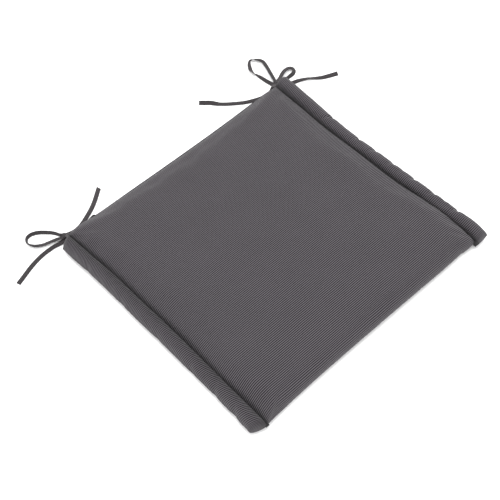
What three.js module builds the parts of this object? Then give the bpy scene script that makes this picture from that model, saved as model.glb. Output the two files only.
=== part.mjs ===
// Chair seat pad: a foam slab in a sewn cover of rib cloth. The cloth is one length, folded round the front
// edge and closed along the back. A row of stitching along each side shuts the foam in and leaves a channel
// outside it, which holds a roll of wadding. A narrow tape is tacked at each back corner and tied in a bow.
// Millimetres, +Z up, +Y towards the back, origin on the underside at the middle of the pad.
import * as THREE from "three";

// Driving dimensions
const WIDTH = 494; // over both side rolls
const ROLL_LENGTH = 446; // cloth at the rolls, front to back
const PAD_LENGTH = 443; // cloth beside the stitch lines, front to back
const WAIST = 3.5; // how far the middle of the front and back edges lies inside their corners
const SIDE_WAIST = 4; // how far the middle of each stitch line, and of its roll, lies inside its ends
const ROLL_RADIUS = 11.5;
const CROWN_HEIGHT = 35; // middle of the pad
const CROWN_FALL = 3.5; // the pad is this much lower towards each of its four edges
const EDGE_RUN = 27; // the pad slopes down to a stitch line over this width
const FOLD_DEPTH = 14; // depth of the rounded front and back edges
const CLOTH = 1; // thickness of the rib cloth
const GAP = 0.3; // left between pieces that touch
const TAPE_WIDTH = 7.5;
const TAPE_THICKNESS = 1.2;
const THREAD_RADIUS = 0.5;
const SEAM_RADIUS = 0.8; // the turned edges of a closed seam

// Values that follow from them
const STITCH_X = WIDTH / 2 - 2 * ROLL_RADIUS;
const SEAM_HEIGHT = ROLL_RADIUS; // both stitch lines and the outer seams lie half way up the rolls
const PINCH = 1.2; // half the thickness of the cover at a stitch line
const VALLEY = 1.1; // the stitching holds the cloth flat this far to each side of its line
const SLIT_ANGLE = THREE.MathUtils.degToRad(6); // half the opening of a side seam, seen from the roll's axis
const BACK_SLIT = 1.1; // half the opening of the back seam

const COLOURS = { cloth: 0x5e5a5e, tape: 0x343136, thread: 0x2b292c, foam: 0xe9e2cf, wadding: 0xf2f0ea };

const part = new THREE.Group();

function addPiece(name, geometry, colour, roughness = 0.95) {
  const material = new THREE.MeshStandardMaterial({ color: colour, roughness, metalness: 0 });
  const mesh = new THREE.Mesh(geometry, material);
  mesh.name = name;
  part.add(mesh);
  return mesh;
}

// Moves every vertex of a plain geometry to place(x, y, z).
function bent(geometry, place) {
  const position = geometry.getAttribute("position");
  for (let i = 0; i < position.count; i += 1) {
    const to = place(position.getX(i), position.getY(i), position.getZ(i));
    position.setXYZ(i, to.x, to.y, to.z);
  }
  geometry.deleteAttribute("normal");
  geometry.deleteAttribute("uv");
  return geometry;
}

// The stitch lines and the rolls bow inwards: where a place x across the pad lies at y along it.
function bowed(x, y) {
  const along = Math.max(0, 1 - (2 * y / PAD_LENGTH) ** 2);
  return x - Math.sign(x) * SIDE_WAIST * along * Math.min(Math.abs(x) / STITCH_X, 1) ** 2;
}

// ---- The section across the pad, from the left side seam to the right one ----

// A station is a place across the section: the cover's mid height there, and half its thickness.
// The pad is flat underneath and crowned on top, and both faces round in to the stitch line.
function padStation(x) {
  const inward = THREE.MathUtils.clamp((STITCH_X - VALLEY - x) / EDGE_RUN, 0, 1);
  const rise = Math.sqrt(1 - (1 - inward) ** 2);
  const crown = CROWN_HEIGHT - CROWN_FALL * (x / STITCH_X) ** 2;
  const top = THREE.MathUtils.lerp(SEAM_HEIGHT + PINCH, crown, rise);
  const bottom = THREE.MathUtils.lerp(SEAM_HEIGHT - PINCH, 0, rise);
  return { x, mid: (top + bottom) / 2, half: (top - bottom) / 2 };
}

function rollStation(angle) {
  const x = STITCH_X + ROLL_RADIUS * (1 + Math.cos(angle));
  return { x, mid: SEAM_HEIGHT, half: ROLL_RADIUS * Math.sin(angle), angle };
}

const PAD_STATIONS = [0, 70, 130, 175, 195, 206, 213, 218, 221.3, STITCH_X - VALLEY, STITCH_X, STITCH_X + VALLEY];
const ROLL_ANGLES = [150, 120, 90, 65, 42, 20].map(THREE.MathUtils.degToRad).concat(SLIT_ANGLE);
const rightHalf = [...PAD_STATIONS.map(padStation), ...ROLL_ANGLES.map(rollStation)];
const leftHalf = rightHalf.slice(1).reverse().map((s) => ({ ...s, x: -s.x }));
const stations = [...leftHalf, ...rightHalf];

// The upper outline of the section, moved inwards from the cover's outer face by depth.
function topPoint(index, depth) {
  const here = stations[index];
  const before = stations[Math.max(index - 1, 0)];
  const after = stations[Math.min(index + 1, stations.length - 1)];
  if (here.angle !== undefined) {
    const radius = ROLL_RADIUS - depth;
    const side = Math.sign(here.x);
    const x = side * (STITCH_X + ROLL_RADIUS + radius * Math.cos(here.angle));
    return { x, mid: here.mid, half: radius * Math.sin(here.angle) };
  }
  const slope = new THREE.Vector2(after.x - before.x, after.half - before.half).normalize();
  return { x: here.x + slope.y * depth, mid: here.mid, half: here.half - slope.x * depth };
}

// ---- The section from the front to the back ----

// How far forward, or back, the cover's outer face reaches at a station.
function reach(x) {
  const across = Math.abs(x);
  if (across <= STITCH_X) {
    return PAD_LENGTH / 2 - WAIST * (1 - (across / STITCH_X) ** 2);
  }
  const outward = (across - STITCH_X) / (2 * ROLL_RADIUS);
  const ends = Math.sin(Math.PI * Math.min(outward * 2.2, 1) / 2);
  const rounding = 7 * Math.max(0, (outward - 0.55) / 0.45) ** 2;
  return PAD_LENGTH / 2 + (ROLL_LENGTH - PAD_LENGTH) / 2 * ends - rounding;
}

// The path along the cloth: under the pad from the back, round the front edge, and over the top to the back.
const FOLD_ANGLES = [-90, -60, -30, 0, 30, 60, 90].map(THREE.MathUtils.degToRad);
const TOP_STEPS = [0.1, 0.25, 0.4, 0.5, 0.6, 0.75, 0.9];
const BACK_ANGLES = [90, 50, 0].map(THREE.MathUtils.degToRad);
const route = [
  ...BACK_ANGLES.map((angle) => ({ end: 1, angle: -angle })).reverse(),
  ...TOP_STEPS.map((share) => ({ end: 0, share, under: true })).reverse(),
  ...FOLD_ANGLES.map((angle) => ({ end: -1, angle })),
  ...TOP_STEPS.map((share) => ({ end: 0, share })),
  ...BACK_ANGLES.map((angle) => ({ end: 1, angle })),
];

// A point of the cloth: station across, step along the route, and depth below its outer face.
function clothPoint(index, step, depth, slit) {
  const { x, mid, half } = topPoint(index, depth);
  const far = reach(stations[index].x) - depth;
  const fold = FOLD_DEPTH - depth;
  const flat = far - fold;
  const here = route[step];
  let y = flat * (2 * (here.share ?? 0) - 1);
  let height = here.under ? -half : half;
  if (here.end !== 0) {
    const open = Math.min(slit / Math.max(half, 1e-6), 1);
    const least = here.end > 0 ? Math.asin(open) : 0;
    const angle = Math.sign(here.angle) * Math.max(Math.abs(here.angle), least) || least * routeSide(step);
    y = here.end * (flat + fold * Math.cos(angle));
    height = half * Math.sin(angle);
  }
  const onPad = height > 0 && Math.abs(x) < STITCH_X;
  const fall = onPad ? CROWN_FALL * (y / reach(0)) ** 2 * height / CROWN_HEIGHT : 0;
  return new THREE.Vector3(bowed(x, y), y, mid + height - fall);
}

// The back seam's two lips share an angle of 0, so their side of the seam comes from the step.
function routeSide(step) {
  return step < route.length / 2 ? -1 : 1;
}

// ---- Cover, foam and wadding ----

function makeCover() {
  const across = stations.length - 1;
  const along = route.length - 1;
  return bent(new THREE.BoxGeometry(1, 1, 1, across, along, 1), (x, y, z) => {
    const depth = z > 0 ? 0 : CLOTH;
    return clothPoint(Math.round((x + 0.5) * across), Math.round((y + 0.5) * along), depth, BACK_SLIT);
  });
}

// The foam fills the cover from one stitch line to the other: a ring of cloth points at each station.
function makeFoam() {
  const first = stations.findIndex((s) => s.x > -STITCH_X + 4);
  const last = stations.length - 1 - first;
  const loop = route.length - 1;
  const depth = CLOTH + GAP;
  const middleOf = (index) => new THREE.Vector3(topPoint(index, depth).x, 0, stations[index].mid);
  return bent(new THREE.CylinderGeometry(1, 1, 1, loop, last - first), (x, y, z) => {
    const index = first + Math.round((y + 0.5) * (last - first));
    if (Math.hypot(x, z) < 0.5) {
      return middleOf(index);
    }
    const turn = Math.atan2(-x, z) / (2 * Math.PI);
    const step = Math.round((turn < -1e-6 ? turn + 1 : turn) * loop) % loop;
    return clothPoint(index, step, depth, 0);
  });
}

// A roll of wadding is round, with its ends drawn in where the cloth closes over them.
function makeWadding(side) {
  const radius = ROLL_RADIUS - CLOTH - 1.3;
  const halfLength = ROLL_LENGTH / 2 - 18;
  const profile = new THREE.Path();
  profile.moveTo(0, -halfLength);
  profile.lineTo(radius - 5, -halfLength);
  profile.quadraticCurveTo(radius, -halfLength, radius, -halfLength + 9);
  for (const share of [-0.75, -0.5, -0.25, 0, 0.25, 0.5, 0.75]) {
    profile.lineTo(radius, share * (halfLength - 9));
  }
  profile.lineTo(radius, halfLength - 9);
  profile.quadraticCurveTo(radius, halfLength, radius - 5, halfLength);
  profile.lineTo(0, halfLength);
  const axis = side * (STITCH_X + ROLL_RADIUS);
  return bent(new THREE.LatheGeometry(profile.getPoints(3), 14), (x, y, z) => {
    return new THREE.Vector3(bowed(axis, y) + x, y, SEAM_HEIGHT + z);
  });
}

addPiece("cover", makeCover(), COLOURS.cloth);
addPiece("foam_core", makeFoam(), COLOURS.foam);

// ---- Seams and stitching ----

// A round strand along a list of points.
function strand(points, radius, steps, sides = 8) {
  const section = new THREE.Shape();
  for (let i = 0; i < sides; i += 1) {
    const angle = 2 * Math.PI * (i + 0.5) / sides;
    const corner = [radius * Math.cos(angle), radius * Math.sin(angle)];
    if (i === 0) section.moveTo(...corner);
    else section.lineTo(...corner);
  }
  const extrudePath = new THREE.CatmullRomCurve3(points.map((p) => new THREE.Vector3(...p)));
  return new THREE.ExtrudeGeometry(section, { steps, bevelEnabled: false, extrudePath });
}

// Places along a side, from the front to the back, close enough together to follow its bow.
function alongSide(end, place) {
  return [-1, -0.75, -0.5, -0.25, 0, 0.25, 0.5, 0.75, 1].map((share) => place(share * end));
}

// A stitch line is locked by two threads: the needle's in the groove on top, the bobbin's underneath.
function addChannelStitching(name, side) {
  const clear = PINCH + GAP + THREAD_RADIUS;
  const end = PAD_LENGTH / 2 - FOLD_DEPTH - 4;
  for (const [thread, height] of [["needle_thread", clear], ["bobbin_thread", -clear]]) {
    const points = alongSide(end, (y) => [bowed(side * STITCH_X, y), y, SEAM_HEIGHT + height]);
    addPiece(`${name}_channel_${thread}`, strand(points, THREAD_RADIUS, 24), COLOURS.thread, 0.7);
  }
}

// A side seam closes the roll's casing at its outermost line, between the lips of the cloth.
function makeSideSeam(side) {
  const end = ROLL_LENGTH / 2 - FOLD_DEPTH - 12;
  const x = side * (WIDTH / 2 - SEAM_RADIUS - 0.2);
  return strand(alongSide(end, (y) => [bowed(x, y), y, SEAM_HEIGHT]), SEAM_RADIUS, 24);
}

// The back seam runs behind the lips of the cloth, from the end of one roll to the end of the other.
function makeBackSeam() {
  const clear = GAP + 0.1 + SEAM_RADIUS;
  const inset = 8;
  const points = stations
    .filter((s) => Math.abs(s.x) < WIDTH / 2 - inset)
    .map((s) => [s.x, reach(s.x) + clear, s.mid]);
  return strand(points, SEAM_RADIUS, 44, 8);
}

// Where a stitch line runs out at the front edge, the cloth's fold is pinched into a small bound tab.
function makeFrontTab() {
  const outline = new THREE.Shape();
  outline.moveTo(-1.2, 0);
  outline.lineTo(-3, -2);
  outline.quadraticCurveTo(-2.8, -3.7, 0, -3.9);
  outline.quadraticCurveTo(2.8, -3.7, 3, -2);
  outline.lineTo(1.2, 0);
  return new THREE.ExtrudeGeometry(outline, { depth: 4.4, bevelEnabled: false, curveSegments: 4 });
}

for (const [name, side] of [["left", -1], ["right", 1]]) {
  addPiece(`${name}_roll_wadding`, makeWadding(side), COLOURS.wadding);
  addChannelStitching(name, side);
  addPiece(`${name}_side_seam`, makeSideSeam(side), COLOURS.cloth);
  const tab = addPiece(`${name}_front_tab`, makeFrontTab(), COLOURS.tape);
  tab.position.set(side * STITCH_X, -reach(STITCH_X) - 3 * GAP, SEAM_HEIGHT - 2.2);
}
addPiece("back_seam", makeBackSeam(), COLOURS.cloth);

// ---- Ties ----

// A flat tape along a list of points, its width upright or lying down.
class TapeRoute extends THREE.CatmullRomCurve3 {
  computeFrenetFrames(segments) {
    const up = new THREE.Vector3(0, 0, 1);
    const frames = { tangents: [], normals: [], binormals: [] };
    for (let i = 0; i <= segments; i += 1) {
      const tangent = this.getTangentAt(i / segments);
      const across = new THREE.Vector3().crossVectors(tangent, up).normalize();
      frames.tangents.push(tangent);
      frames.normals.push(new THREE.Vector3().crossVectors(across, tangent));
      frames.binormals.push(across);
    }
    return frames;
  }
}

function tape(points, upright, steps) {
  const high = (upright ? TAPE_WIDTH : TAPE_THICKNESS) / 2;
  const wide = (upright ? TAPE_THICKNESS : TAPE_WIDTH) / 2;
  const cut = TAPE_THICKNESS / 4;
  const corners = [
    [high - cut, -wide], [high, -wide + cut], [high, wide - cut], [high - cut, wide],
    [cut - high, wide], [-high, wide - cut], [-high, cut - wide], [cut - high, -wide],
  ];
  const section = new THREE.Shape(corners.map(([x, y]) => new THREE.Vector2(x, y)));
  const extrudePath = new TapeRoute(points.map((p) => new THREE.Vector3(...p)));
  return new THREE.ExtrudeGeometry(section, { steps, bevelEnabled: false, extrudePath });
}

// Each half of a corner's tape goes through the knot, round a loop, through the knot again and out as a tail.
// Loops lie on edge and tails lie flat, on the surface that the pad lies on.
const LEFT_KNOT = [-225, 229.2, 4.9];
const RIGHT_KNOT = [229, 229.2, 4.9];
const tieStretches = {
  left_tie_outer_loop: {
    upright: true,
    steps: 32,
    points: [
      [-229.4, 234.6, 5], [-233.8, 244.4, 4.3], [-242.2, 254.9, 4.1], [-250.8, 262.8, 4.1],
      [-259.4, 267.6, 4.1], [-267, 267.9, 4.1], [-272.2, 264.7, 4.1], [-274.6, 259.2, 4.1],
      [-273.1, 252.1, 4.1], [-267.8, 244.9, 4.1], [-258.8, 239.4, 4.1], [-249.9, 236.6, 4.1],
      [-240.5, 233.9, 4.2], [-233, 230.6, 4.6],
    ],
  },
  left_tie_outer_tail: {
    upright: false,
    steps: 16,
    points: [
      [-232.5, 224.9, 2.6], [-239.9, 226, 1.4], [-248.5, 227.4, 0.9], [-265.4, 227.2, 0.9],
      [-280.9, 225.1, 0.9], [-297.8, 220.9, 0.9], [-315.1, 215, 0.9], [-329.3, 210.3, 0.9],
    ],
  },
  left_tie_inner_loop: {
    upright: true,
    steps: 24,
    points: [
      [-218.9, 227.4, 6.4], [-208, 226.9, 7.6], [-194, 226.9, 8.8], [-180.5, 226.8, 9.4],
      [-170, 226.6, 9.6], [-164.2, 228.2, 9.4], [-164.6, 231, 8.8], [-171, 232.4, 7.8],
      [-182, 232.2, 6.6], [-196, 231.4, 5.8], [-208, 230.8, 5.2], [-218.4, 230.6, 4.8],
    ],
  },
  left_tie_inner_tail: {
    upright: false,
    steps: 18,
    points: [
      [-221.4, 235.6, 2.6], [-212, 236.4, 1.2], [-202.4, 235.8, 0.9], [-189.5, 235, 0.9],
      [-174, 237.8, 0.9], [-160.1, 244.4, 0.9], [-147.2, 252.2, 0.9], [-135, 261.1, 0.9],
      [-127.9, 266.2, 0.9],
    ],
  },
  right_tie_inner_loop: {
    upright: true,
    steps: 36,
    points: [
      [227.4, 234, 5], [226.3, 243.6, 4.3], [225, 256.2, 4.1], [222.8, 265.8, 4.1],
      [222.1, 274.1, 4.1], [223.6, 282.9, 4.1], [228, 290.1, 4.1], [233.1, 295.2, 4.1],
      [238.6, 297.5, 4.1], [244, 294.9, 4.1], [248.7, 289.1, 4.1], [250.5, 281.6, 4.1],
      [247, 269.3, 4.1], [241.9, 255.1, 4.1], [237.3, 242.4, 4.3], [233.6, 234.2, 5],
    ],
  },
  right_tie_inner_tail: {
    upright: false,
    steps: 24,
    points: [
      [222.6, 230, 2.6], [215, 230.4, 1.2], [206.5, 230.4, 0.9], [197.3, 230.5, 0.9],
      [189, 231.6, 0.9], [182.4, 233.5, 0.9], [174.8, 236.4, 0.9], [168, 240.1, 0.9],
      [161.3, 244.6, 0.9], [148.4, 254.7, 0.9], [135.9, 266, 0.9], [123.7, 277.6, 0.9],
      [110.4, 289.9, 0.9],
    ],
  },
  right_tie_outer_loop: {
    upright: true,
    steps: 28,
    points: [
      [235.6, 231.8, 5.2], [241.2, 232.2, 5], [247.8, 233.6, 4.8], [255.6, 237.2, 4.6], [264.1, 239.6, 4.4],
      [272, 239.3, 4.2], [275.6, 236.4, 4.1], [273.8, 231.8, 4.1], [267, 228.6, 4.1], [257, 227, 4.3],
      [246, 226.7, 4.6], [236.4, 227.6, 5],
    ],
  },
  right_tie_outer_tail: {
    upright: false,
    steps: 22,
    points: [
      [234.6, 221.2, 1.2], [242, 219.6, 0.9], [251, 217.6, 0.9], [261.1, 214.1, 0.9], [266.8, 211.6, 0.9],
      [274.1, 208, 0.9], [280.8, 204.2, 0.9], [291.5, 196, 0.9], [300.4, 190, 0.9], [313.3, 183.5, 0.9],
      [327.3, 177.1, 0.9],
    ],
  },
};
for (const [name, { points, upright, steps }] of Object.entries(tieStretches)) {
  addPiece(name, tape(points, upright, steps), COLOURS.tape);
}

// The knot, and the doubled tape between it and the end of the stitch line, tacked down in the groove.
function makeKnot() {
  const knot = new THREE.SphereGeometry(1, 12, 8);
  knot.scale(4.4, 3.2, 4.4);
  return knot;
}

function makeTack() {
  const outline = new THREE.Shape();
  outline.moveTo(-0.8, -4);
  outline.lineTo(0.8, -4);
  outline.lineTo(0.8, 4);
  outline.lineTo(-0.8, 4);
  return new THREE.ExtrudeGeometry(outline, { depth: 1.2, bevelEnabled: false });
}

for (const [name, side, knotAt] of [["left", -1, LEFT_KNOT], ["right", 1, RIGHT_KNOT]]) {
  const knot = addPiece(`${name}_tie_knot`, makeKnot(), COLOURS.tape);
  knot.position.set(...knotAt);
  const tack = addPiece(`${name}_tie_tack`, makeTack(), COLOURS.thread, 0.7);
  const tackedAt = PAD_LENGTH / 2 - FOLD_DEPTH + 2.5;
  tack.position.set(bowed(side * STITCH_X, tackedAt), tackedAt, SEAM_HEIGHT + PINCH + GAP);
  const root = addPiece(`${name}_tie_root`, new THREE.BoxGeometry(TAPE_WIDTH, TAPE_THICKNESS, 9), COLOURS.tape);
  root.position.set(side * (STITCH_X - 1.5), reach(STITCH_X) + 3.5, SEAM_HEIGHT - 1.5);
}

export default part;
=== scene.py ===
"""A tie-on chair seat pad in charcoal rib cloth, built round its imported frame.

Metres, +Z up, +Y to the back.
"""
import math

import bpy
import numpy as np
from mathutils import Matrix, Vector


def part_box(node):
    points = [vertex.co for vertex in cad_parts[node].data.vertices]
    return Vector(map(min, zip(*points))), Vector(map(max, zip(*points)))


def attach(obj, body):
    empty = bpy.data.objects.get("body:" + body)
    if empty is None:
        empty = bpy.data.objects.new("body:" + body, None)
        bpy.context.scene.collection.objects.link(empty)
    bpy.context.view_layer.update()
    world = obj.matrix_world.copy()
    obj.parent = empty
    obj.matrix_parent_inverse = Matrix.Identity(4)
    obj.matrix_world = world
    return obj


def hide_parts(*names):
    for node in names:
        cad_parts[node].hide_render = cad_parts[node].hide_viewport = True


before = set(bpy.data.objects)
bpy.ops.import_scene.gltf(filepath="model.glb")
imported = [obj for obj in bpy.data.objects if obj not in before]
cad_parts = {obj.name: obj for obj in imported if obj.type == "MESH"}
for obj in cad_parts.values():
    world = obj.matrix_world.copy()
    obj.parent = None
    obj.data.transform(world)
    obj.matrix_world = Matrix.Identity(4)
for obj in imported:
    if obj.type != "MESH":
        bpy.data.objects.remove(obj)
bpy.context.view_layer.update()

# ---------------------------------------------------------------------------------------------------------
# The room. The pad lies on a plain white surface, under a large soft light and a weaker one further back.
# The camera looks down on it from beyond its front left corner.
# ---------------------------------------------------------------------------------------------------------
CAMERA_AZIMUTH = math.radians(-43.49)
CAMERA_ELEVATION = math.radians(55.77)
CAMERA_DISTANCE = 1.863
CAMERA_LENS = 86.7
SENSOR_WIDTH = 36
AIM = Vector((-0.0298, 0.0180, -0.0051))  # the point that the camera looks at, close to the pad's middle
FLOOR_SIZE = 12
FLOOR_WHITE = (0.97, 0.97, 0.97, 1)
ROOM_STRENGTH = 1.5


def add_camera():
    flat = math.cos(CAMERA_ELEVATION)
    side, front = math.sin(CAMERA_AZIMUTH) * flat, -math.cos(CAMERA_AZIMUTH) * flat
    back = Vector((side, front, math.sin(CAMERA_ELEVATION)))
    bpy.ops.object.camera_add(location=AIM + back * CAMERA_DISTANCE)
    camera = bpy.context.object
    camera.rotation_mode = "QUATERNION"
    camera.rotation_quaternion = (-back).to_track_quat("-Z", "Y")
    camera.data.lens = CAMERA_LENS
    camera.data.sensor_width = SENSOR_WIDTH
    bpy.context.scene.camera = camera


def add_soft_light(name, place, size, watts):
    """A square light that shines on the middle of the pad."""
    bpy.ops.object.light_add(type="AREA", location=place)
    light = bpy.context.object
    light.name = name
    light.rotation_mode = "QUATERNION"
    light.rotation_quaternion = (-Vector(place)).to_track_quat("-Z", "Y")
    light.data.size = size
    light.data.energy = watts


def add_floor():
    bpy.ops.mesh.primitive_plane_add(size=FLOOR_SIZE, location=(0, 0, 0))
    floor = bpy.context.object
    floor.name = "floor"
    white = bpy.data.materials.new("white floor")
    white.use_nodes = True
    shader = white.node_tree.nodes["Principled BSDF"]
    shader.inputs["Base Color"].default_value = FLOOR_WHITE
    shader.inputs["Roughness"].default_value = 0.9
    shader.inputs["Specular IOR Level"].default_value = 0.1
    floor.data.materials.append(white)


def light_the_room():
    world = bpy.data.worlds.new("white room")
    world.use_nodes = True
    background = world.node_tree.nodes["Background"]
    background.inputs["Color"].default_value = (1, 1, 1, 1)
    background.inputs["Strength"].default_value = ROOM_STRENGTH
    bpy.context.scene.world = world
    add_soft_light("key light", place=(-0.2, -0.2, 2.5), size=1.4, watts=30)
    add_soft_light("fill light", place=(-0.4, 1.0, 2.2), size=1.8, watts=6)
    bpy.context.scene.view_settings.view_transform = "Standard"


bpy.ops.object.select_all(action="DESELECT")
add_camera()
add_floor()
light_the_room()

# ---------------------------------------------------------------------------------------------------------
# The cover. One length of rib cloth lies under the foam, folds round the front edge and comes back over the
# top to a seam along the back. A stitch line near each side shuts the foam in and makes a channel for a roll
# of wadding. The cloth is laid out flat, wrapped round its filling and then blown up by a cloth simulation.
# ---------------------------------------------------------------------------------------------------------
tab_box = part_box("right_front_tab")
STITCH_X = (tab_box[0].x + tab_box[1].x) / 2  # from the middle to the ends of a stitch line
HALF_LENGTH = 0.2215  # of the cloth beside the stitch lines
SIDE_WAIST = 0.004  # how far the sides draw in between their ends
BACK_WAIST = 0.0038  # how far the back edge draws in between its corners
BACK_WAIST_SKEW = 0.0010  # more than that on the right and less on the left
FRONT_WAIST = 0.0008
CROWN = 0.0315  # height of the pad over its middle
CROWN_FALL = 0.003  # how much lower it is at its edges
EDGE_RUN = 0.027  # from a stitch line to where the pad is at its full height
EDGE_SWELL = 0.0022  # how far the pad's side swells out over the groove
EDGE_FULLNESS = 2.6
FOLD_DEPTH = 0.014  # of the rounded front and back edges
PINCH = 0.0012  # half the thickness of the cover where it is stitched together
VALLEY = 0.0011  # half the width of a groove's floor
SEAM_HEIGHT = 0.0115  # of all the seams and stitch lines above the floor
ROLL_RADIUS = {-1: 0.0122, 1: 0.0123}
CUT_FROM = 0.08  # where the cut of a roll's outer corner starts, as a share of the way out
COVER_GAP = 0.0003  # between the floor and the cloth

# A side is -1 for the left and 1 for the right, and an end is -1 for the front and 1 for the back.
# The rolls' ends: how far each stands out, how much its outer corner is cut away, and the depth of its fold.
ROLL_ENDS = {
    (-1, -1): (0.0000, 0.0085, 0.008), (1, -1): (0.0024, 0.0016, 0.008),
    (-1, 1): (0.0000, 0.0130, 0.007), (1, 1): (0.0022, 0.0000, 0.006),
}

# Where sewing and filling are uneven, as smooth bumps: the middle, width and height of each. Those of the
# front and back edges lie that far from the pad's middle line, and the others lie along its sides.
CORNER_BUMPS = {
    (-1, -1): [(0.198, 0.026, -0.0014)], (1, -1): [(0.198, 0.026, -0.0014), (0.217, 0.006, -0.0014)],
    (-1, 1): [(0.200, 0.024, 0.0024)], (1, 1): [(0.212, 0.012, -0.0016)],
}
RIGHT_GROOVE_BUMPS = [(-0.145, 0.085, 0.0030), (-0.226, 0.020, -0.0028)]
RIGHT_EDGE_BUMPS = [(-0.150, 0.075, 0.0036)]
ROLL_BUMPS = {
    -1: [(-0.115, 0.040, -0.0007), (-0.206, 0.020, 0.0006)],
    1: [
        (0.190, 0.050, 0.0014), (0.138, 0.030, 0.0005), (0.050, 0.035, -0.0010),
        (-0.130, 0.030, -0.0003), (-0.198, 0.022, 0.0006),
    ],
}


def smooth_bump(value, middle, width):
    """1 at the middle, falling to 0 at about two widths from it."""
    return np.exp(-(((value - middle) / width) ** 2))


def bumps(value, table):
    return sum(height * smooth_bump(value, middle, width) for middle, width, height in table)


def groove_shift(side, y):
    """How far the stitch line lies outside a straight one: the right one steps in, the left one wanders."""
    if side > 0:
        return bumps(y, RIGHT_GROOVE_BUMPS) - 0.0012 * (1 + np.tanh((y - 0.075) / 0.03))
    return -0.0012 - 0.0009 * np.tanh(y / 0.08) + 0.0004 * np.sin(y * 41)


def edge_bulge(side, y):
    """How far the pad's own edge swells out over the groove, in slow waves along it."""
    if side > 0:
        return EDGE_SWELL + bumps(y, RIGHT_EDGE_BUMPS) + 0.0006 * np.sin(y * 43 + 1.0)
    return EDGE_SWELL + 0.0006 * np.sin(y * 38)


def roll_radius(side, y):
    """The rolls are unevenly filled: slim in places, and the right one fullest at its back end."""
    radius = ROLL_RADIUS[side] + bumps(y, ROLL_BUMPS[side])
    return radius if side > 0 else radius - 0.0005 * np.tanh((y - 0.10) / 0.06)


def roll_spread(side, y):
    """How far a roll's axis lies outside its stitch line, in radii: a full roll leans over the stitches."""
    return 0.95 + 0.08 * smooth_bump(y, 0.222, 0.03) if side > 0 else 0.93


def roll_axis(side, y):
    return STITCH_X + groove_shift(side, y) + roll_radius(side, y) * roll_spread(side, y)


def bowed(x, y):
    """The stitch lines and the rolls bow inwards between their ends."""
    along = np.maximum(0, 1 - (y / HALF_LENGTH) ** 2)
    return x - np.sign(x) * SIDE_WAIST * along * np.minimum(np.abs(x) / STITCH_X, 1) ** 2


# Stations across a bag, from left to right: the side, then a distance from the middle of the pad or an angle
# round the roll. They lie closer together from the pad's shoulder on, and closest over its side.
SHOULDER = 0.190
PAD_SIDE = 0.214
PAD_PLACES = np.concatenate([
    np.linspace(0, SHOULDER, 22, endpoint=False),
    np.linspace(SHOULDER, PAD_SIDE, 10, endpoint=False),
    np.linspace(PAD_SIDE, STITCH_X - VALLEY, 8),
])
STITCH_PLACES = [STITCH_X, STITCH_X + VALLEY]
ROLL_ANGLES = np.radians(np.linspace(152, 0, 18))


def mirrored(places):
    """The same stations on the left, then on the right, with the middle one once."""
    right = [(1, place, angle) for place, angle in places]
    return [(-1, place, angle) for _, place, angle in right[:0:-1]] + right


COVER_STATIONS = mirrored(
    [(x, None) for x in [*PAD_PLACES, *STITCH_PLACES]] + [(None, angle) for angle in ROLL_ANGLES])

# Rows along the cloth, from the back seam under the pad, round the front and over the top.
BACK_FOLD = np.radians([0, 14, 30, 48, 68])
FRONT_FOLD = np.radians(np.linspace(-90, 90, 15))
COVER_ROWS = 108  # on each face of the cover
SAME_PLACE = 0.00002


def cloth_rows(flat_rows):
    """Each row's place along the flats, from -1 at the front to 1 at the back, and its fold angle."""
    rows = [(1.0, -angle) for angle in BACK_FOLD]
    rows += [(share, None) for share in np.linspace(1, -1, flat_rows)[:-1]]
    rows += [(-1.0, angle) for angle in FRONT_FOLD]
    rows += [(share, None) for share in np.linspace(-1, 1, flat_rows)[1:]]
    rows += [(1.0, angle) for angle in BACK_FOLD[::-1]]
    return rows


def reach(station, end):
    """How far out a bag reaches at a station, to the front or the back, and the depth of its fold there."""
    side, x, angle = station
    if x is not None:
        share = min(x / STITCH_X, 1)
        if end < 0:
            waist = FRONT_WAIST * (1 - side * min(x / 0.15, 1)) * (1 - share**12)
        else:
            waist = (BACK_WAIST + BACK_WAIST_SKEW * side * min(x / 0.1, 1)) * (1 - share**2)
        return HALF_LENGTH - waist + bumps(x, CORNER_BUMPS[side, end]), FOLD_DEPTH
    out, cut, fold = ROLL_ENDS[side, end]
    outward = (1 + math.cos(angle)) / 2
    stands = out * math.sin(math.pi / 2 * min(outward * 2.2, 1))
    trimmed = cut * max(0, (outward - CUT_FROM) / (1 - CUT_FROM)) ** 1.2
    return HALF_LENGTH + stands - trimmed, fold


def station_point(station, y, inset):
    """x, mid height and half height of a bag that lies inset inside the cover, at a station and at y."""
    side, x, angle = station
    if angle is not None:
        radius = roll_radius(side, y)
        x = roll_axis(side, y) + (radius - inset) * math.cos(angle)
        return bowed(side * x, y), (SEAM_HEIGHT + radius) / 2, (radius - inset) * math.sin(angle)
    if x >= STITCH_X:
        return bowed(side * (x + groove_shift(side, y)), y), SEAM_HEIGHT, PINCH
    near = 1 - min((STITCH_X - VALLEY - x) / EDGE_RUN, 1)
    rise = math.sqrt(1 - near**2)
    crown = CROWN - CROWN_FALL * (x / STITCH_X) ** 2
    top = SEAM_HEIGHT + PINCH + (crown - SEAM_HEIGHT - PINCH) * rise
    bottom = (SEAM_HEIGHT - PINCH) * (1 - rise)
    shift = groove_shift(side, y) * near + edge_bulge(side, y) * EDGE_FULLNESS * rise * near**2
    return bowed(side * (x + shift), y), (top + bottom) / 2, (top - bottom) / 2 - inset


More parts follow.
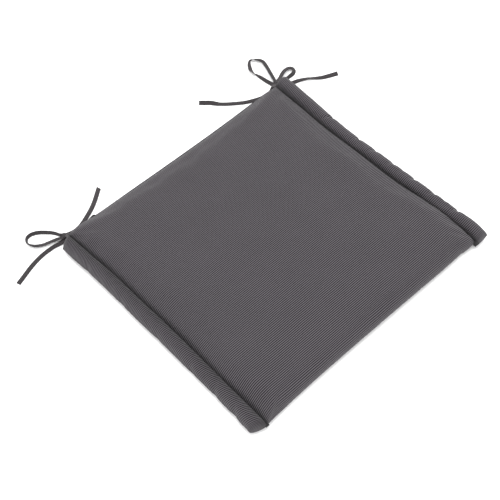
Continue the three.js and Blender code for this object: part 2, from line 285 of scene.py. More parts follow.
def wrap(stations, rows, inset):
    """Where each point of a bag goes: stations by rows by three. Its outermost stations are closed flat."""
    place = np.zeros((len(stations), len(rows), 3))
    for number, station in enumerate(stations):
        closed = 0.0 if number in (0, len(stations) - 1) else 1.0
        for row, (share, angle) in enumerate(rows):
            end = -1 if share < 0 else 1
            far, fold = reach(station, end)
            flat = far - fold
            if angle is None:
                y, height = flat * share, -1.0 if row < len(rows) // 2 else 1.0
            else:
                y, height = end * (flat + (fold - inset) * math.cos(angle)), math.sin(angle)
            x, mid, half = station_point(station, y, inset)
            half *= closed
            on_pad = station[1] is not None and station[1] < STITCH_X
            fall = CROWN_FALL * (y / HALF_LENGTH) ** 2 * max(height, 0) * half / CROWN if on_pad else 0
            place[number, row] = (x, y, mid + half * height - fall)
    return place


def cloth_lengths(place):
    """The distance of each point across the flat cloth, and along it from the middle of the front fold."""
    centre = len(place) // 2
    middle = place[centre]
    along = np.concatenate([[0], np.cumsum(np.linalg.norm(np.diff(middle, axis=0), axis=1))])
    row = len(middle) * 3 // 4
    across = np.concatenate([[0], np.cumsum(np.linalg.norm(np.diff(place[:, row], axis=0), axis=1))])
    return across - across[centre], along - along[len(middle) // 2]


def make_bag(name, stations, flat_rows, inset=0.0):
    """A flat grid of cloth with a UV map in metres, wrapped round a filling and closed along its edges."""
    rows = cloth_rows(flat_rows)
    bpy.ops.object.select_all(action="DESELECT")
    bpy.ops.mesh.primitive_grid_add(x_subdivisions=len(stations) - 1, y_subdivisions=len(rows) - 1, size=2)
    bag = bpy.context.object
    bag.name = name
    mesh = bag.data
    flat = points_of(bag)
    column = np.round((flat[:, 0] + 1) / 2 * (len(stations) - 1)).astype(int)
    row = np.round((flat[:, 1] + 1) / 2 * (len(rows) - 1)).astype(int)
    place = wrap(stations, rows, inset)
    across, along = cloth_lengths(place)
    loops = np.zeros(len(mesh.loops), int)
    mesh.loops.foreach_get("vertex_index", loops)
    uv = np.stack([across[column], along[row]], axis=1)[loops]
    mesh.uv_layers.active.data.foreach_set("uv", uv.ravel())
    set_points(bag, place[column, row])
    stitched = np.array([x in (PAD_PLACES[-1], *STITCH_PLACES) for _, x, _ in stations])[column]
    on_pad = np.array([x is not None and x < STITCH_X for _, x, _ in stations])[column]
    seam = (column == 0) | (column == len(stations) - 1) | (row == 0) | (row == len(rows) - 1)
    for group, wanted in (("held", stitched | seam), ("pad", on_pad)):
        bag.vertex_groups.new(name=group).add([int(i) for i in np.flatnonzero(wanted)], 1.0, "REPLACE")
    bpy.ops.object.mode_set(mode="EDIT")
    bpy.ops.mesh.select_all(action="SELECT")
    bpy.ops.mesh.remove_doubles(threshold=SAME_PLACE)
    bpy.ops.object.mode_set(mode="OBJECT")
    return bag


def points_of(thing):
    out = np.zeros(len(thing.data.vertices) * 3)
    thing.data.vertices.foreach_get("co", out)
    return out.reshape(-1, 3)


def set_points(thing, points):
    thing.data.vertices.foreach_set("co", points.ravel())
    thing.data.update()


def group_mask(thing, name):
    index = thing.vertex_groups[name].index
    return np.array([any(g.group == index for g in v.groups) for v in thing.data.vertices])


def blow_up(cloth, pressure, frames, pad_cap, roll_cap):
    """Cloth simulation from the wrapped shape, each point held to a short way from where it started."""
    start = points_of(cloth)
    modifier = cloth.modifiers.new("filling", "CLOTH")
    settings = modifier.settings
    settings.quality = 6
    settings.mass = 0.3
    settings.tension_stiffness = settings.compression_stiffness = 15
    settings.shear_stiffness = 8
    settings.bending_stiffness = 1.5
    settings.use_pressure = True
    settings.uniform_pressure_force = pressure
    settings.vertex_group_mass = "held"
    settings.shrink_min = -0.006
    settings.effector_weights.gravity = 0
    modifier.collision_settings.use_collision = False
    scene = bpy.context.scene
    for number in range(1, frames + 1):
        scene.frame_set(number)
    graph = bpy.context.evaluated_depsgraph_get()
    shaped = cloth.evaluated_get(graph)
    end = np.zeros(len(cloth.data.vertices) * 3)
    shaped.data.vertices.foreach_get("co", end)
    end = end.reshape(-1, 3)
    cloth.modifiers.remove(modifier)
    scene.frame_set(1)
    move = end - start
    cap = np.where(group_mask(cloth, "pad"), pad_cap, roll_cap)
    length = np.linalg.norm(move, axis=1)
    share = np.tanh(length / cap) * cap / np.maximum(length, 1e-9)
    set_points(cloth, start + move * share[:, None])


# Puckers where the seam of a roll draws the cloth in: place along the roll, depth, half width, and how much
# of it goes on over the top. They lean towards the back as they go up, in metres a degree.
PUCKER_LEAN = 0.00010
NEAR_SEAM = (14, 42)  # where a pucker is deepest and how wide it is, in degrees up from the seam
OVER_TOP = (80, 45)
UNMOVED = 0.002  # of a roll's cloth beside the stitch line
PUCKERS = {
    1: [
        (0.100, 0.0030, 0.0034, 0.9), (0.039, 0.0036, 0.0045, 0.3), (0.003, 0.0032, 0.0045, 0.3),
        (-0.035, 0.0034, 0.0045, 0.25), (-0.056, 0.0012, 0.0040, 0.2), (-0.079, 0.0028, 0.0050, 0.3),
        (-0.120, 0.0040, 0.0045, 0.35), (-0.142, 0.0012, 0.0040, 0.2), (-0.167, 0.0044, 0.0045, 0.4),
    ],
    -1: [
        (0.150, 0.0010, 0.007, 0.3), (0.070, 0.0010, 0.007, 0.3), (-0.010, 0.0010, 0.006, 0.3),
        (-0.085, 0.0013, 0.006, 0.3), (-0.135, 0.0016, 0.006, 0.4), (-0.178, 0.0018, 0.006, 0.4),
    ],
}


def pucker_depth(side, y, turn):
    """How far the cloth of a roll is drawn in at y, turn degrees up from its outer seam."""
    depth = 0.0
    near_seam = smooth_bump(turn, *NEAR_SEAM)
    over_top = smooth_bump(turn, *OVER_TOP)
    for where, deep, wide, share in PUCKERS[side]:
        lean = where + PUCKER_LEAN * turn
        beside = smooth_bump(y, lean, wide) * near_seam
        above = smooth_bump(y, lean, wide * 0.7) * share * over_top
        depth = depth + deep * (beside + above)
    return depth


def draw_in_seams(bag):
    """Moves the cloth of each roll in towards its axis at the puckers, deepest beside the outer seam."""
    points = points_of(bag)
    for side in (-1, 1):
        y = points[:, 1]
        outward = side * (points[:, 0] - bowed(side * roll_axis(side, y), y))
        height = points[:, 2] - SEAM_HEIGHT
        depth = pucker_depth(side, y, np.degrees(np.arctan2(height, outward)))
        depth = np.where(outward > UNMOVED - roll_radius(side, y), depth, 0)
        size = np.maximum(np.hypot(outward, height), 1e-6)
        points[:, 0] -= side * depth * outward / size
        points[:, 2] -= depth * height / size
    set_points(bag, points)


def rest_on_floor(thing):
    points = points_of(thing)
    points[:, 2] = np.maximum(points[:, 2], COVER_GAP)
    set_points(thing, points)


def smooth_finish(thing, levels=1):
    bpy.ops.object.select_all(action="DESELECT")
    thing.select_set(True)
    bpy.context.view_layer.objects.active = thing
    modifier = thing.modifiers.new("smooth", "SUBSURF")
    modifier.levels = modifier.render_levels = levels
    modifier.boundary_smooth = "PRESERVE_CORNERS"
    bpy.ops.object.modifier_apply(modifier=modifier.name)
    bpy.ops.object.shade_smooth()


class Nodes:
    """A material's node tree, written out with short calls."""

    def __init__(self, name):
        self.material = bpy.data.materials.new(name)
        self.material.use_nodes = True
        self.tree = self.material.node_tree
        self.shader = self.tree.nodes["Principled BSDF"]

    def add(self, kind, **values):
        node = self.tree.nodes.new("ShaderNode" + kind)
        for key, value in values.items():
            setattr(node, key, value)
        return node

    def link(self, source, target):
        self.tree.links.new(source, target)

    def math(self, operation, first, second=0.0):
        node = self.add("Math", operation=operation)
        for socket, value in zip(node.inputs, (first, second)):
            if isinstance(value, (int, float)):
                socket.default_value = value
            else:
                self.link(value, socket)
        return node.outputs[0]

    def noise(self, vector, scale, detail=2.0, roughness=0.5):
        node = self.add("TexNoise")
        self.link(vector, node.inputs["Vector"])
        node.inputs["Scale"].default_value = scale
        node.inputs["Detail"].default_value = detail
        node.inputs["Roughness"].default_value = roughness
        return node.outputs["Fac"]

    def ramp(self, value, stops):
        node = self.add("ValToRGB")
        self.link(value, node.inputs["Fac"])
        while len(node.color_ramp.elements) < len(stops):
            node.color_ramp.elements.new(0.5)
        for element, (place, colour) in zip(node.color_ramp.elements, stops):
            element.position = place
            element.color = (*colour, 1)
        return node.outputs["Color"]

    def bump(self, height, distance):
        node = self.add("Bump")
        node.inputs["Distance"].default_value = distance
        node.inputs["Strength"].default_value = 1.0
        self.link(height, node.inputs["Height"])
        self.link(node.outputs["Normal"], self.shader.inputs["Normal"])

    def set(self, **values):
        for key, value in values.items():
            self.shader.inputs[key.replace("_", " ")].default_value = value


RIBS_PER_METRE = 333
RIBS_GAINED = 56  # how much closer the ribs are beaten towards the back
RIB_WANDER = 0.0016
THREAD_PITCH = 0.0011

# How far the painted shade of a groove's crease reaches, over the pad and over each roll, and how dark it
# is.
PAD_SHADE_REACH = 0.014
LEFT_ROLL_SHADE_REACH = 0.030
RIGHT_ROLL_SHADE_REACH = 0.016
PAINTED_SHADE_DARKNESS = 0.44


def rib_cloth(groove):
    """Rep weave: round ribs across the pad, bound by fine warp threads, with painted shade in the grooves'
    creases.
    """
    cloth = Nodes("charcoal rib cloth")
    place = cloth.add("UVMap").outputs["UV"]
    split = cloth.add("SeparateXYZ")
    cloth.link(place, split.inputs[0])
    x, y = split.outputs["X"], split.outputs["Y"]
    along = cloth.math("ADD", y, cloth.math("MULTIPLY", cloth.noise(place, 22.0, 1.0), RIB_WANDER))
    gained = cloth.math("MULTIPLY", cloth.math("ABSOLUTE", along), RIBS_GAINED)
    ribs = cloth.math("MULTIPLY", along, cloth.math("ADD", gained, RIBS_PER_METRE))
    rib_turn = cloth.math("MULTIPLY", ribs, 2 * math.pi)
    rib = cloth.math("MULTIPLY", cloth.math("ADD", cloth.math("SINE", rib_turn), 1.0), 0.5)
    half_turn = cloth.math("MULTIPLY", cloth.math("SINE", cloth.math("MULTIPLY", rib_turn, 0.5)), 1.4)
    thread_turn = cloth.math("MULTIPLY", x, 2 * math.pi / THREAD_PITCH)
    thread = cloth.math("SINE", cloth.math("ADD", thread_turn, half_turn))
    fine = cloth.math("MULTIPLY", cloth.math("ADD", thread, 1.0), 0.5)
    height = cloth.math("ADD", cloth.math("MULTIPLY", rib, 0.8), cloth.math("MULTIPLY", fine, 0.2))
    fibre = cloth.noise(place, 750.0, 3.0, 0.75)
    patches = cloth.noise(place, 14.0, 3.0, 0.55)
    shade = cloth.math("ADD", cloth.math("MULTIPLY", height, 0.96), cloth.math("MULTIPLY", fibre, 0.30))
    shade = cloth.math("ADD", shade, cloth.math("MULTIPLY", patches, 0.10))
    # Painted shade: the colour is darker towards each groove's stitch line, for the shade in its crease. It
    # fades out over the pad and, further out, over each roll, furthest over the left one.
    outside = cloth.math("SUBTRACT", cloth.math("ABSOLUTE", x), groove)
    lean = cloth.math("MULTIPLY", cloth.math("SIGN", x), (LEFT_ROLL_SHADE_REACH - RIGHT_ROLL_SHADE_REACH) / 2)
    roll_shade_reach = cloth.math("SUBTRACT", (LEFT_ROLL_SHADE_REACH + RIGHT_ROLL_SHADE_REACH) / 2, lean)
    on_roll = cloth.math("DIVIDE", outside, roll_shade_reach)
    on_pad = cloth.math("DIVIDE", outside, -PAD_SHADE_REACH)
    painted_crease_shade = cloth.math("SUBTRACT", 1.0, cloth.math("MAXIMUM", on_roll, on_pad))
    painted_crease_shade = cloth.math("POWER", cloth.math("MAXIMUM", painted_crease_shade, 0.0), 1.6)
    shade = cloth.math("SUBTRACT", shade, cloth.math("MULTIPLY", painted_crease_shade, PAINTED_SHADE_DARKNESS))
    colour = cloth.ramp(shade, [
        (0.20, (0.0014, 0.0012, 0.0014)),
        (0.59, (0.0188, 0.0169, 0.0190)),
        (1.00, (0.1000, 0.0905, 0.1020)),
    ])
    cloth.link(colour, cloth.shader.inputs["Base Color"])
    cloth.set(Roughness=0.88, Specular_IOR_Level=0.18, Sheen_Weight=0.12, Sheen_Roughness=0.5)
    cloth.bump(height, 0.0007)
    return cloth.material


cover = make_bag("rib_cover", COVER_STATIONS, COVER_ROWS)
blow_up(cover, pressure=4.0, frames=14, pad_cap=0.0035, roll_cap=0.0008)
smooth_finish(cover)
draw_in_seams(cover)
rest_on_floor(cover)
# Where each groove lies across the flat cloth, as the middle of the painted shade of its crease.
cloth_across, _ = cloth_lengths(wrap(COVER_STATIONS, cloth_rows(COVER_ROWS), 0.0))
grooves = [abs(u) for u, (_, x, _) in zip(cloth_across, COVER_STATIONS) if x == STITCH_X]
rib_material = rib_cloth(float(np.mean(grooves)))
cover.data.materials.append(rib_material)
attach(cover, "root")
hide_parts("cover")

# ---------------------------------------------------------------------------------------------------------
# The filling. A slab of cream foam fills the middle chamber, and a roll of white wadding fills each side
# channel. They go in before the cover is closed.
# ---------------------------------------------------------------------------------------------------------
SIDES = {"left": -1, "right": 1}
FOAM_SHORT = 0.004  # how far from the stitch lines it stops
FOAM_STATIONS = mirrored([(x, None) for x in PAD_PLACES if x < STITCH_X - FOAM_SHORT])
FOAM_ROWS = 30
FOAM_INSET = 0.0016  # how much smaller than the cover it is wrapped
ROUND = np.radians(np.linspace(180, 0, 15))
WADDING_STATIONS = {
    1: [(1, None, angle) for angle in ROUND],
    -1: [(-1, None, angle) for angle in ROUND[::-1]],
}
WADDING_ROWS = 60
WADDING_INSET = 0.0018
CLOTH_GAP = 0.0013  # that stays free inside the cover


def foam_material():
    foam = Nodes("cream foam")
    place = foam.add("TexCoord").outputs["Object"]
    cells = foam.add("TexVoronoi")
    foam.link(place, cells.inputs["Vector"])
    cells.inputs["Scale"].default_value = 900
    pores = foam.math("MULTIPLY", cells.outputs["Distance"], 0.8)
    tint = foam.math("ADD", pores, foam.math("MULTIPLY", foam.noise(place, 30.0), 0.3))
    colour = foam.ramp(tint, [(0.1, (0.70, 0.62, 0.46)), (0.6, (0.86, 0.80, 0.66))])
    foam.link(colour, foam.shader.inputs["Base Color"])
    foam.set(Roughness=0.95)
    foam.bump(pores, 0.0006)
    return foam.material


def wadding_material():
    wadding = Nodes("white wadding")
    place = wadding.add("TexCoord").outputs["Object"]
    fibres = wadding.noise(place, 420.0, 6.0, 0.75)
    colour = wadding.ramp(fibres, [(0.3, (0.78, 0.77, 0.74)), (0.7, (0.92, 0.91, 0.89))])
    wadding.link(colour, wadding.shader.inputs["Base Color"])
    wadding.set(Roughness=1.0, Sheen_Weight=0.3)
    wadding.bump(fibres, 0.0012)
    return wadding.material


def keep_inside(filling, cloth, gap):
    """Moves each point of a filling that comes nearer to the cloth than the gap back inside it."""
    points = points_of(filling)
    for number, point in enumerate(points):
        _, near, normal, _ = cloth.closest_point_on_mesh(Vector(point))
        beyond = (Vector(point) - near).dot(normal) + gap
        if beyond > 0:
            points[number] = Vector(point) - normal * beyond
    set_points(filling, points)


def finish_filling(filling, material, node):
    smooth_finish(filling)
    for _ in range(3):
        keep_inside(filling, cover, CLOTH_GAP)
    bpy.context.view_layer.update()
    filling.data.materials.append(material)
    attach(filling, "root")
    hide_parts(node)


foam = make_bag("foam_slab", FOAM_STATIONS, FOAM_ROWS, FOAM_INSET)
finish_filling(foam, foam_material(), "foam_core")
wadding = wadding_material()
for side_name, side in SIDES.items():
    roll = make_bag(f"{side_name}_wadding", WADDING_STATIONS[side], WADDING_ROWS, WADDING_INSET)
    draw_in_seams(roll)
    finish_filling(roll, wadding, f"{side_name}_roll_wadding")

# ---------------------------------------------------------------------------------------------------------
# The stitching. A row of lock stitches in dark thread holds the cover together beside the foam at each side:
# needle thread in the groove on top, bobbin thread underneath. One stitch is modelled and repeated along it.
# ---------------------------------------------------------------------------------------------------------
STITCH_PITCH = 0.0030
STITCH_HALVES = (0.00034, 0.00042, 0.00148)  # half its height, width and length
STITCHED_TO = 0.2035  # from the middle
THREAD_PROUD = 0.0004  # how high the stitches lie on the pinched cloth


def thread_material():
    thread = Nodes("dark sewing thread")
    place = thread.add("TexCoord").outputs["Object"]
    twist = thread.noise(place, 2200.0, 2.0, 0.6)
    colour = thread.ramp(twist, [(0.3, (0.012, 0.011, 0.012)), (0.7, (0.040, 0.036, 0.040))])
    thread.link(colour, thread.shader.inputs["Base Color"])
    thread.set(Roughness=0.55, Specular_IOR_Level=0.4)
    thread.bump(twist, 0.0001)
    return thread.material


def finish_piece(piece, name, material, node):
    """Names a new piece, gives it its material and puts it in the place of its frame node."""
    piece.name = name
    bpy.ops.object.select_all(action="DESELECT")
    piece.select_set(True)
    bpy.context.view_layer.objects.active = piece
    bpy.ops.object.transform_apply(location=True, rotation=True, scale=True)
    bpy.ops.object.shade_smooth()
    piece.data.materials.clear()
    piece.data.materials.append(material)
    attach(piece, "root")
    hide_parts(node)
    return piece


def line_curve(points, thick=0.0):
    """A curve object through the points, with a round section where thick is given."""
    bpy.ops.object.select_all(action="DESELECT")
    bpy.ops.curve.primitive_nurbs_path_add(location=(0, 0, 0))
    curve = bpy.context.object
    curve.data.splines.clear()
    spline_line = curve.data.splines.new("POLY")
    spline_line.points.add(len(points) - 1)
    for knob, point in zip(spline_line.points, points):
        knob.co = (*point, 1)
    curve.data.bevel_depth = thick
    curve.data.bevel_resolution = 3
    curve.data.use_fill_caps = thick > 0
    return curve


def repeat_along(piece, pitch, points):
    """An array of the piece, which lies along X, bent onto the line through the points."""
    length = sum(math.dist(a, b) for a, b in zip(points[:-1], points[1:]))
    curve = line_curve(points)
    bpy.ops.object.select_all(action="DESELECT")
    piece.select_set(True)
    bpy.context.view_layer.objects.active = piece
    array = piece.modifiers.new("row", "ARRAY")
    array.use_relative_offset = False
    array.use_constant_offset = True
    array.constant_offset_displace = (pitch, 0, 0)
    array.count = int(length / pitch)
    bend = piece.modifiers.new("along", "CURVE")
    bend.object = curve
    bend.deform_axis = "POS_X"
    bpy.ops.object.modifier_apply(modifier=array.name)
    bpy.ops.object.modifier_apply(modifier=bend.name)
    bpy.data.objects.remove(curve)


def add_stitch():
    """One stitch: a short thread, thick in the middle, that dips into the cloth at both ends."""
    bpy.ops.object.select_all(action="DESELECT")
    bpy.ops.mesh.primitive_uv_sphere_add(segments=10, ring_count=8, radius=1, rotation=(0, math.pi / 2, 0))
    stitch = bpy.context.object
    stitch.location.x = STITCH_PITCH / 2
    stitch.scale = STITCH_HALVES
    bpy.ops.object.transform_apply(location=True, rotation=True, scale=True)
    return stitch


thread_dark = thread_material()
for side_name, side in SIDES.items():
    ys = np.linspace(-STITCHED_TO, STITCHED_TO, 90)
    xs = bowed(side * (STITCH_X + groove_shift(side, ys)), ys)
    for thread_name, lift in (("needle", 1), ("bobbin", -1)):
        row = add_stitch()
        z = SEAM_HEIGHT + lift * (PINCH + THREAD_PROUD)
        repeat_along(row, STITCH_PITCH, [(x, y, z) for x, y in zip(xs, ys)])
        finish_piece(row, f"{side_name}_{thread_name}_stitches", thread_dark,
                     f"{side_name}_channel_{thread_name}_thread")

# ---------------------------------------------------------------------------------------------------------
# The turned seams. The cover's edges are sewn together along the outside of each roll and along the back,
# and turned in, which leaves a narrow ridge of cloth that follows every pucker.
# ---------------------------------------------------------------------------------------------------------
RIDGE_RADIUS = 0.0008
RIDGE_SUNK = 0.0003  # into the cloth of a roll
RIDGE_PROUD = 0.0002  # of the back edge
SIDE_RIDGE_TO = 0.198
BACK_RIDGE_TO = 0.236


def seam_ridge(name, points, node):
    line_curve(points, RIDGE_RADIUS)
    bpy.ops.object.convert(target="MESH")
    finish_piece(bpy.context.object, name, rib_material, node)


for side_name, side in SIDES.items():
    ys = np.linspace(-SIDE_RIDGE_TO, SIDE_RIDGE_TO, 160)
    outer = roll_axis(side, ys) + roll_radius(side, ys) - pucker_depth(side, ys, 0.0) - RIDGE_SUNK
    side_line = [(x, y, SEAM_HEIGHT) for x, y in zip(bowed(side * outer, ys), ys)]
    seam_ridge(f"{side_name}_side_ridge", side_line, f"{side_name}_side_seam")

back_line = []
for station in COVER_STATIONS:
    far, _ = reach(station, 1)
    x, mid, _ = station_point(station, far, 0.0)
    if abs(x) < BACK_RIDGE_TO:
        back_line.append((x, far + RIDGE_PROUD, mid))
seam_ridge("back_ridge", back_line, "back_seam")

# ---------------------------------------------------------------------------------------------------------
# The front tabs. Where a stitch line runs out at the front, its end is bound with a folded scrap of dark
# tape, which stands out of the pinched cloth as a small rounded lump.
# ---------------------------------------------------------------------------------------------------------
TAB_WIDTH = 0.0066  # at its back, where it is sewn
TAB_FLARE = 0.0016  # how much wider it is at its front
TAB_DEPTH = 0.0054
TAB_HEIGHT = 0.0074
TAB_SCALE = {-1: (0.80, 0.90, 0.95), 1: (1.12, 1.15, 1.20)}
TAB_SET_BACK = {-1: 0.0012, 1: 0.0008}


def add_tab(side):
    """A cushion-shaped fold of tape: a rounded block, narrower where it is sewn and split along its nose."""
    bpy.ops.object.select_all(action="DESELECT")
    bpy.ops.mesh.primitive_cube_add(size=1)
    tab = bpy.context.object
    bpy.ops.object.mode_set(mode="EDIT")
    bpy.ops.mesh.select_all(action="SELECT")
    bpy.ops.mesh.subdivide(number_cuts=6)
    bpy.ops.object.mode_set(mode="OBJECT")
    points = points_of(tab)
    x, y, z = points.T
    nose = np.sqrt(np.maximum(0.06, 1 - (np.minimum(y, 0.2) - 0.2) ** 2 / 0.52))
    split = 1 - 0.34 * smooth_bump(z, 0, 0.16) * (y < 0)
    points[:, 0] = x * (TAB_WIDTH + TAB_FLARE * (0.5 - y)) * np.sqrt(np.maximum(0.3, 1 - (1.3 * z) ** 2))
    points[:, 1] = y * TAB_DEPTH * split
    points[:, 2] = z * TAB_HEIGHT * nose
    set_points(tab, points)
    smooth_finish(tab, 2)
    bpy.ops.transform.resize(value=TAB_SCALE[side])
    x = side * (STITCH_X + float(groove_shift(side, -HALF_LENGTH)))
    tab.location = (x, TAB_SET_BACK[side] - HALF_LENGTH, SEAM_HEIGHT)
    return tab


# ---------------------------------------------------------------------------------------------------------
# The ties. One flat woven tape at each back corner, folded in half and tacked in at the end of the groove.
# Each half goes through the knot, round a loop, through the knot again and out as a tail with a cut end.
# ---------------------------------------------------------------------------------------------------------
MM = 0.001
TAPE_WIDTH = 0.0077
TAPE_THICKNESS = 0.0011
TAPE_RIB = 0.0011
TAPE_STEP = TAPE_RIB / 2
TAPE_GAP = 0.0007  # between the floor and the tape's middle
FURROW = (0.985, 0.72)  # the tape's width and thickness between its cross ribs, as shares
FINE = 24  # steps of a curve between two of its points
FACING = np.array([-0.387, -0.408, 0.827])  # which way the loops' faces are turned: up and to the front left

# Routes in millimetres: the root from the seam to the knot, the loop, the way through the knot, the tail.
# A fourth number is how many degrees the tape is turned out of its facing; without one it lies flat. The
# root's width runs from side to side. The cut is how much longer one edge of a tail is than the other.
TIES = {
    "left_outer_tape": dict(
        root=[(-223.2, 220.8, 13.4), (-223.4, 225.2, 11.0), (-224.6, 227.4, 7.0)],
        loop=[
            (-228.6, 235.6, 5.0, 50), (-233.2, 245.4, 4.3, 44), (-241.8, 255.6, 4.1, 38),
            (-250.4, 263.2, 4.1, 36), (-259.4, 267.6, 4.1, 40), (-267.0, 267.9, 4.1, 52),
            (-272.2, 264.7, 4.1, 70), (-274.6, 259.2, 4.1, 84), (-272.7, 252.5, 4.1, 70),
            (-267.3, 245.4, 4.1, 56), (-258.3, 240.1, 4.1, 54), (-249.4, 237.4, 4.1, 54),
            (-240.0, 234.6, 4.2, 52), (-232.5, 231.2, 4.6, 50),
        ],
        knot=[(-226.5, 228.6, 4.6), (-227.5, 226.4, 3.4)],
        tail=[
            (-232.5, 224.9, 2.6), (-239.9, 226.2, 1.4), (-248.7, 227.8, 1.1), (-265.9, 227.8, 1.1),
            (-281.4, 225.8, 1.1), (-298.3, 221.6, 1.1), (-315.6, 215.7, 1.1), (-329.6, 211.0, 1.1),
        ],
    ),
    "left_inner_tape": dict(
        root=[(-222.4, 220.8, 13.4), (-222.2, 225.2, 11.2), (-221.8, 227.0, 8.2)],
        loop=[
            (-218.9, 225.6, 5.0, 60), (-208.0, 223.4, 4.8, 60), (-194.0, 222.6, 4.8, 60),
            (-182.0, 222.8, 5.0, 60), (-173.0, 224.4, 5.6, 60), (-168.2, 226.0, 6.2, 60),
            (-168.6, 227.8, 6.0, 60), (-174.0, 227.2, 5.0, 60), (-183.0, 225.8, 4.4, 60),
            (-196.0, 225.2, 4.2, 60), (-208.0, 226.0, 4.2, 60), (-218.4, 228.6, 4.4, 60),
        ],
        knot=[(-223.4, 231.0, 4.6), (-224.0, 233.2, 3.6)],
        tail=[
            (-220.8, 231.6, 2.2), (-212.0, 229.4, 1.3), (-202.4, 228.6, 1.1), (-190.0, 231.2, 1.1),
            (-174.0, 237.8, 1.1), (-160.1, 244.4, 1.1), (-147.2, 252.2, 1.1), (-135.0, 261.1, 1.1),
            (-126.6, 267.2, 1.1),
        ],
        cut=0.0032,
    ),
    "right_inner_tape": dict(
        root=[(222.0, 220.8, 13.4), (222.0, 225.2, 11.2), (224.8, 228.4, 7.6)],
        loop=[
            (226.8, 234.0, 5.0, 40), (225.4, 243.4, 4.3, 36), (224.0, 256.0, 4.1, 40),
            (222.4, 265.4, 4.1, 66), (221.8, 273.9, 4.1, 104), (223.3, 283.1, 4.1, 148),
            (228.0, 290.9, 4.1, 148), (233.0, 296.4, 4.1, 136), (238.9, 298.9, 4.1, 100),
            (245.0, 296.0, 4.1, 66), (250.0, 289.8, 4.1, 44), (251.9, 281.8, 4.1, 34),
            (248.2, 269.0, 4.1, 34), (243.0, 254.7, 4.1, 36), (238.2, 242.0, 4.3, 40),
            (234.0, 234.0, 5.0, 46),
        ],
        knot=[(230.0, 230.4, 5.4), (227.4, 229.6, 4.2)],
        tail=[
            (222.6, 228.0, 2.6), (215.0, 225.3, 1.4), (206.5, 224.8, 1.1), (197.3, 226.0, 1.1),
            (188.4, 228.8, 1.1), (181.4, 231.8, 1.1), (173.8, 235.2, 1.1), (167.0, 239.0, 1.1),
            (160.3, 243.5, 1.1), (147.2, 253.5, 1.1), (134.7, 264.7, 1.1), (122.9, 276.8, 1.6, 14),
            (109.6, 289.4, 2.0, 10),
        ],
    ),
    "right_outer_tape": dict(
        root=[(223.0, 220.8, 13.4), (223.2, 225.2, 11.0), (227.2, 228.0, 7.4)],
        loop=[
            (235.2, 232.4, 5.2, 40), (240.8, 233.6, 5.0, 38), (247.6, 235.6, 4.8, 34),
            (255.8, 239.4, 4.6, 32), (264.6, 242.2, 4.4, 36), (272.8, 241.7, 4.2, 40),
            (277.2, 237.8, 4.1, 40), (276.4, 231.6, 4.1, 30), (269.6, 227.4, 4.1, 30),
            (258.0, 226.6, 4.3, 44), (246.0, 226.6, 4.6, 50), (236.4, 227.6, 5.0, 50),
        ],
        knot=[(230.6, 227.4, 5.0), (229.6, 224.6, 3.0)],
        tail=[
            (234.6, 221.2, 1.4), (242.0, 219.6, 1.1), (251.0, 217.2, 1.1), (260.8, 213.4, 1.1, 24),
            (266.8, 211.6, 1.3, 30), (274.1, 208.0, 1.8, 42), (280.8, 204.2, 2.2, 54),
            (286.1, 200.0, 2.4, 60), (291.5, 195.6, 2.2, 50), (300.2, 189.3, 1.6, 30),
            (313.0, 182.5, 1.1, 14), (327.1, 176.2, 1.1, 6),
        ],
    ),
}


def unit(vectors):
    return vectors / np.maximum(np.linalg.norm(vectors, axis=-1, keepdims=True), 1e-12)


def spline(points):
    """A smooth curve through the points, as many close points."""
    p = np.array(points)
    p = np.vstack([2 * p[0] - p[1], p, 2 * p[-1] - p[-2]])
    t = np.linspace(0, 1, FINE, endpoint=False)[:, None]
    stretches = []
    for a, b, c, d in zip(p[:-3], p[1:-2], p[2:-1], p[3:]):
        square = (2 * a - 5 * b + 4 * c - d) * t**2
        cube = (3 * b - a - 3 * c + d) * t**3
        stretches.append(0.5 * (2 * b + (c - a) * t + square + cube))
    return np.vstack([*stretches, p[-2:-1]])


def read_off(values, run, at):
    """The rows of values that go with the places in run, read off at other places."""
    return np.stack([np.interp(at, run, column) for column in values.T], axis=1)


def even(curve, widths):
    """The curve and its widths, read off again at even steps, and its length."""
    run = np.concatenate([[0], np.cumsum(np.linalg.norm(np.diff(curve, axis=0), axis=1))])
    at = np.linspace(0, run[-1], int(round(run[-1] / TAPE_STEP)) + 1)
    return read_off(curve, run, at), read_off(widths, run, at), run[-1]


def tape_widths(route, root_points):
    """The direction of the tape's width along its route, from the turn that is given at each point."""
    points = np.array([p[:3] for p in route])
    tangents = unit(np.gradient(points, axis=0))
    widths = []
    for number, (point, tangent) in enumerate(zip(route, tangents)):
        sideways = unit(np.cross(tangent, FACING))
        away = unit(np.cross(sideways, tangent))
        if len(point) == 4:
            turn = math.radians(point[3])
            width = sideways * math.cos(turn) + away * math.sin(turn)
        elif number < root_points:
            width = np.array([1.0, 0.0, 0.0])
        else:
            width = unit(np.cross(tangent, (0, 0, 1)))
        if widths and width @ widths[-1] < 0:
            width = -width
        widths.append(width)
    at = np.linspace(0, len(route) - 1, FINE * (len(route) - 1) + 1)
    return unit(read_off(np.array(widths), range(len(route)), at))


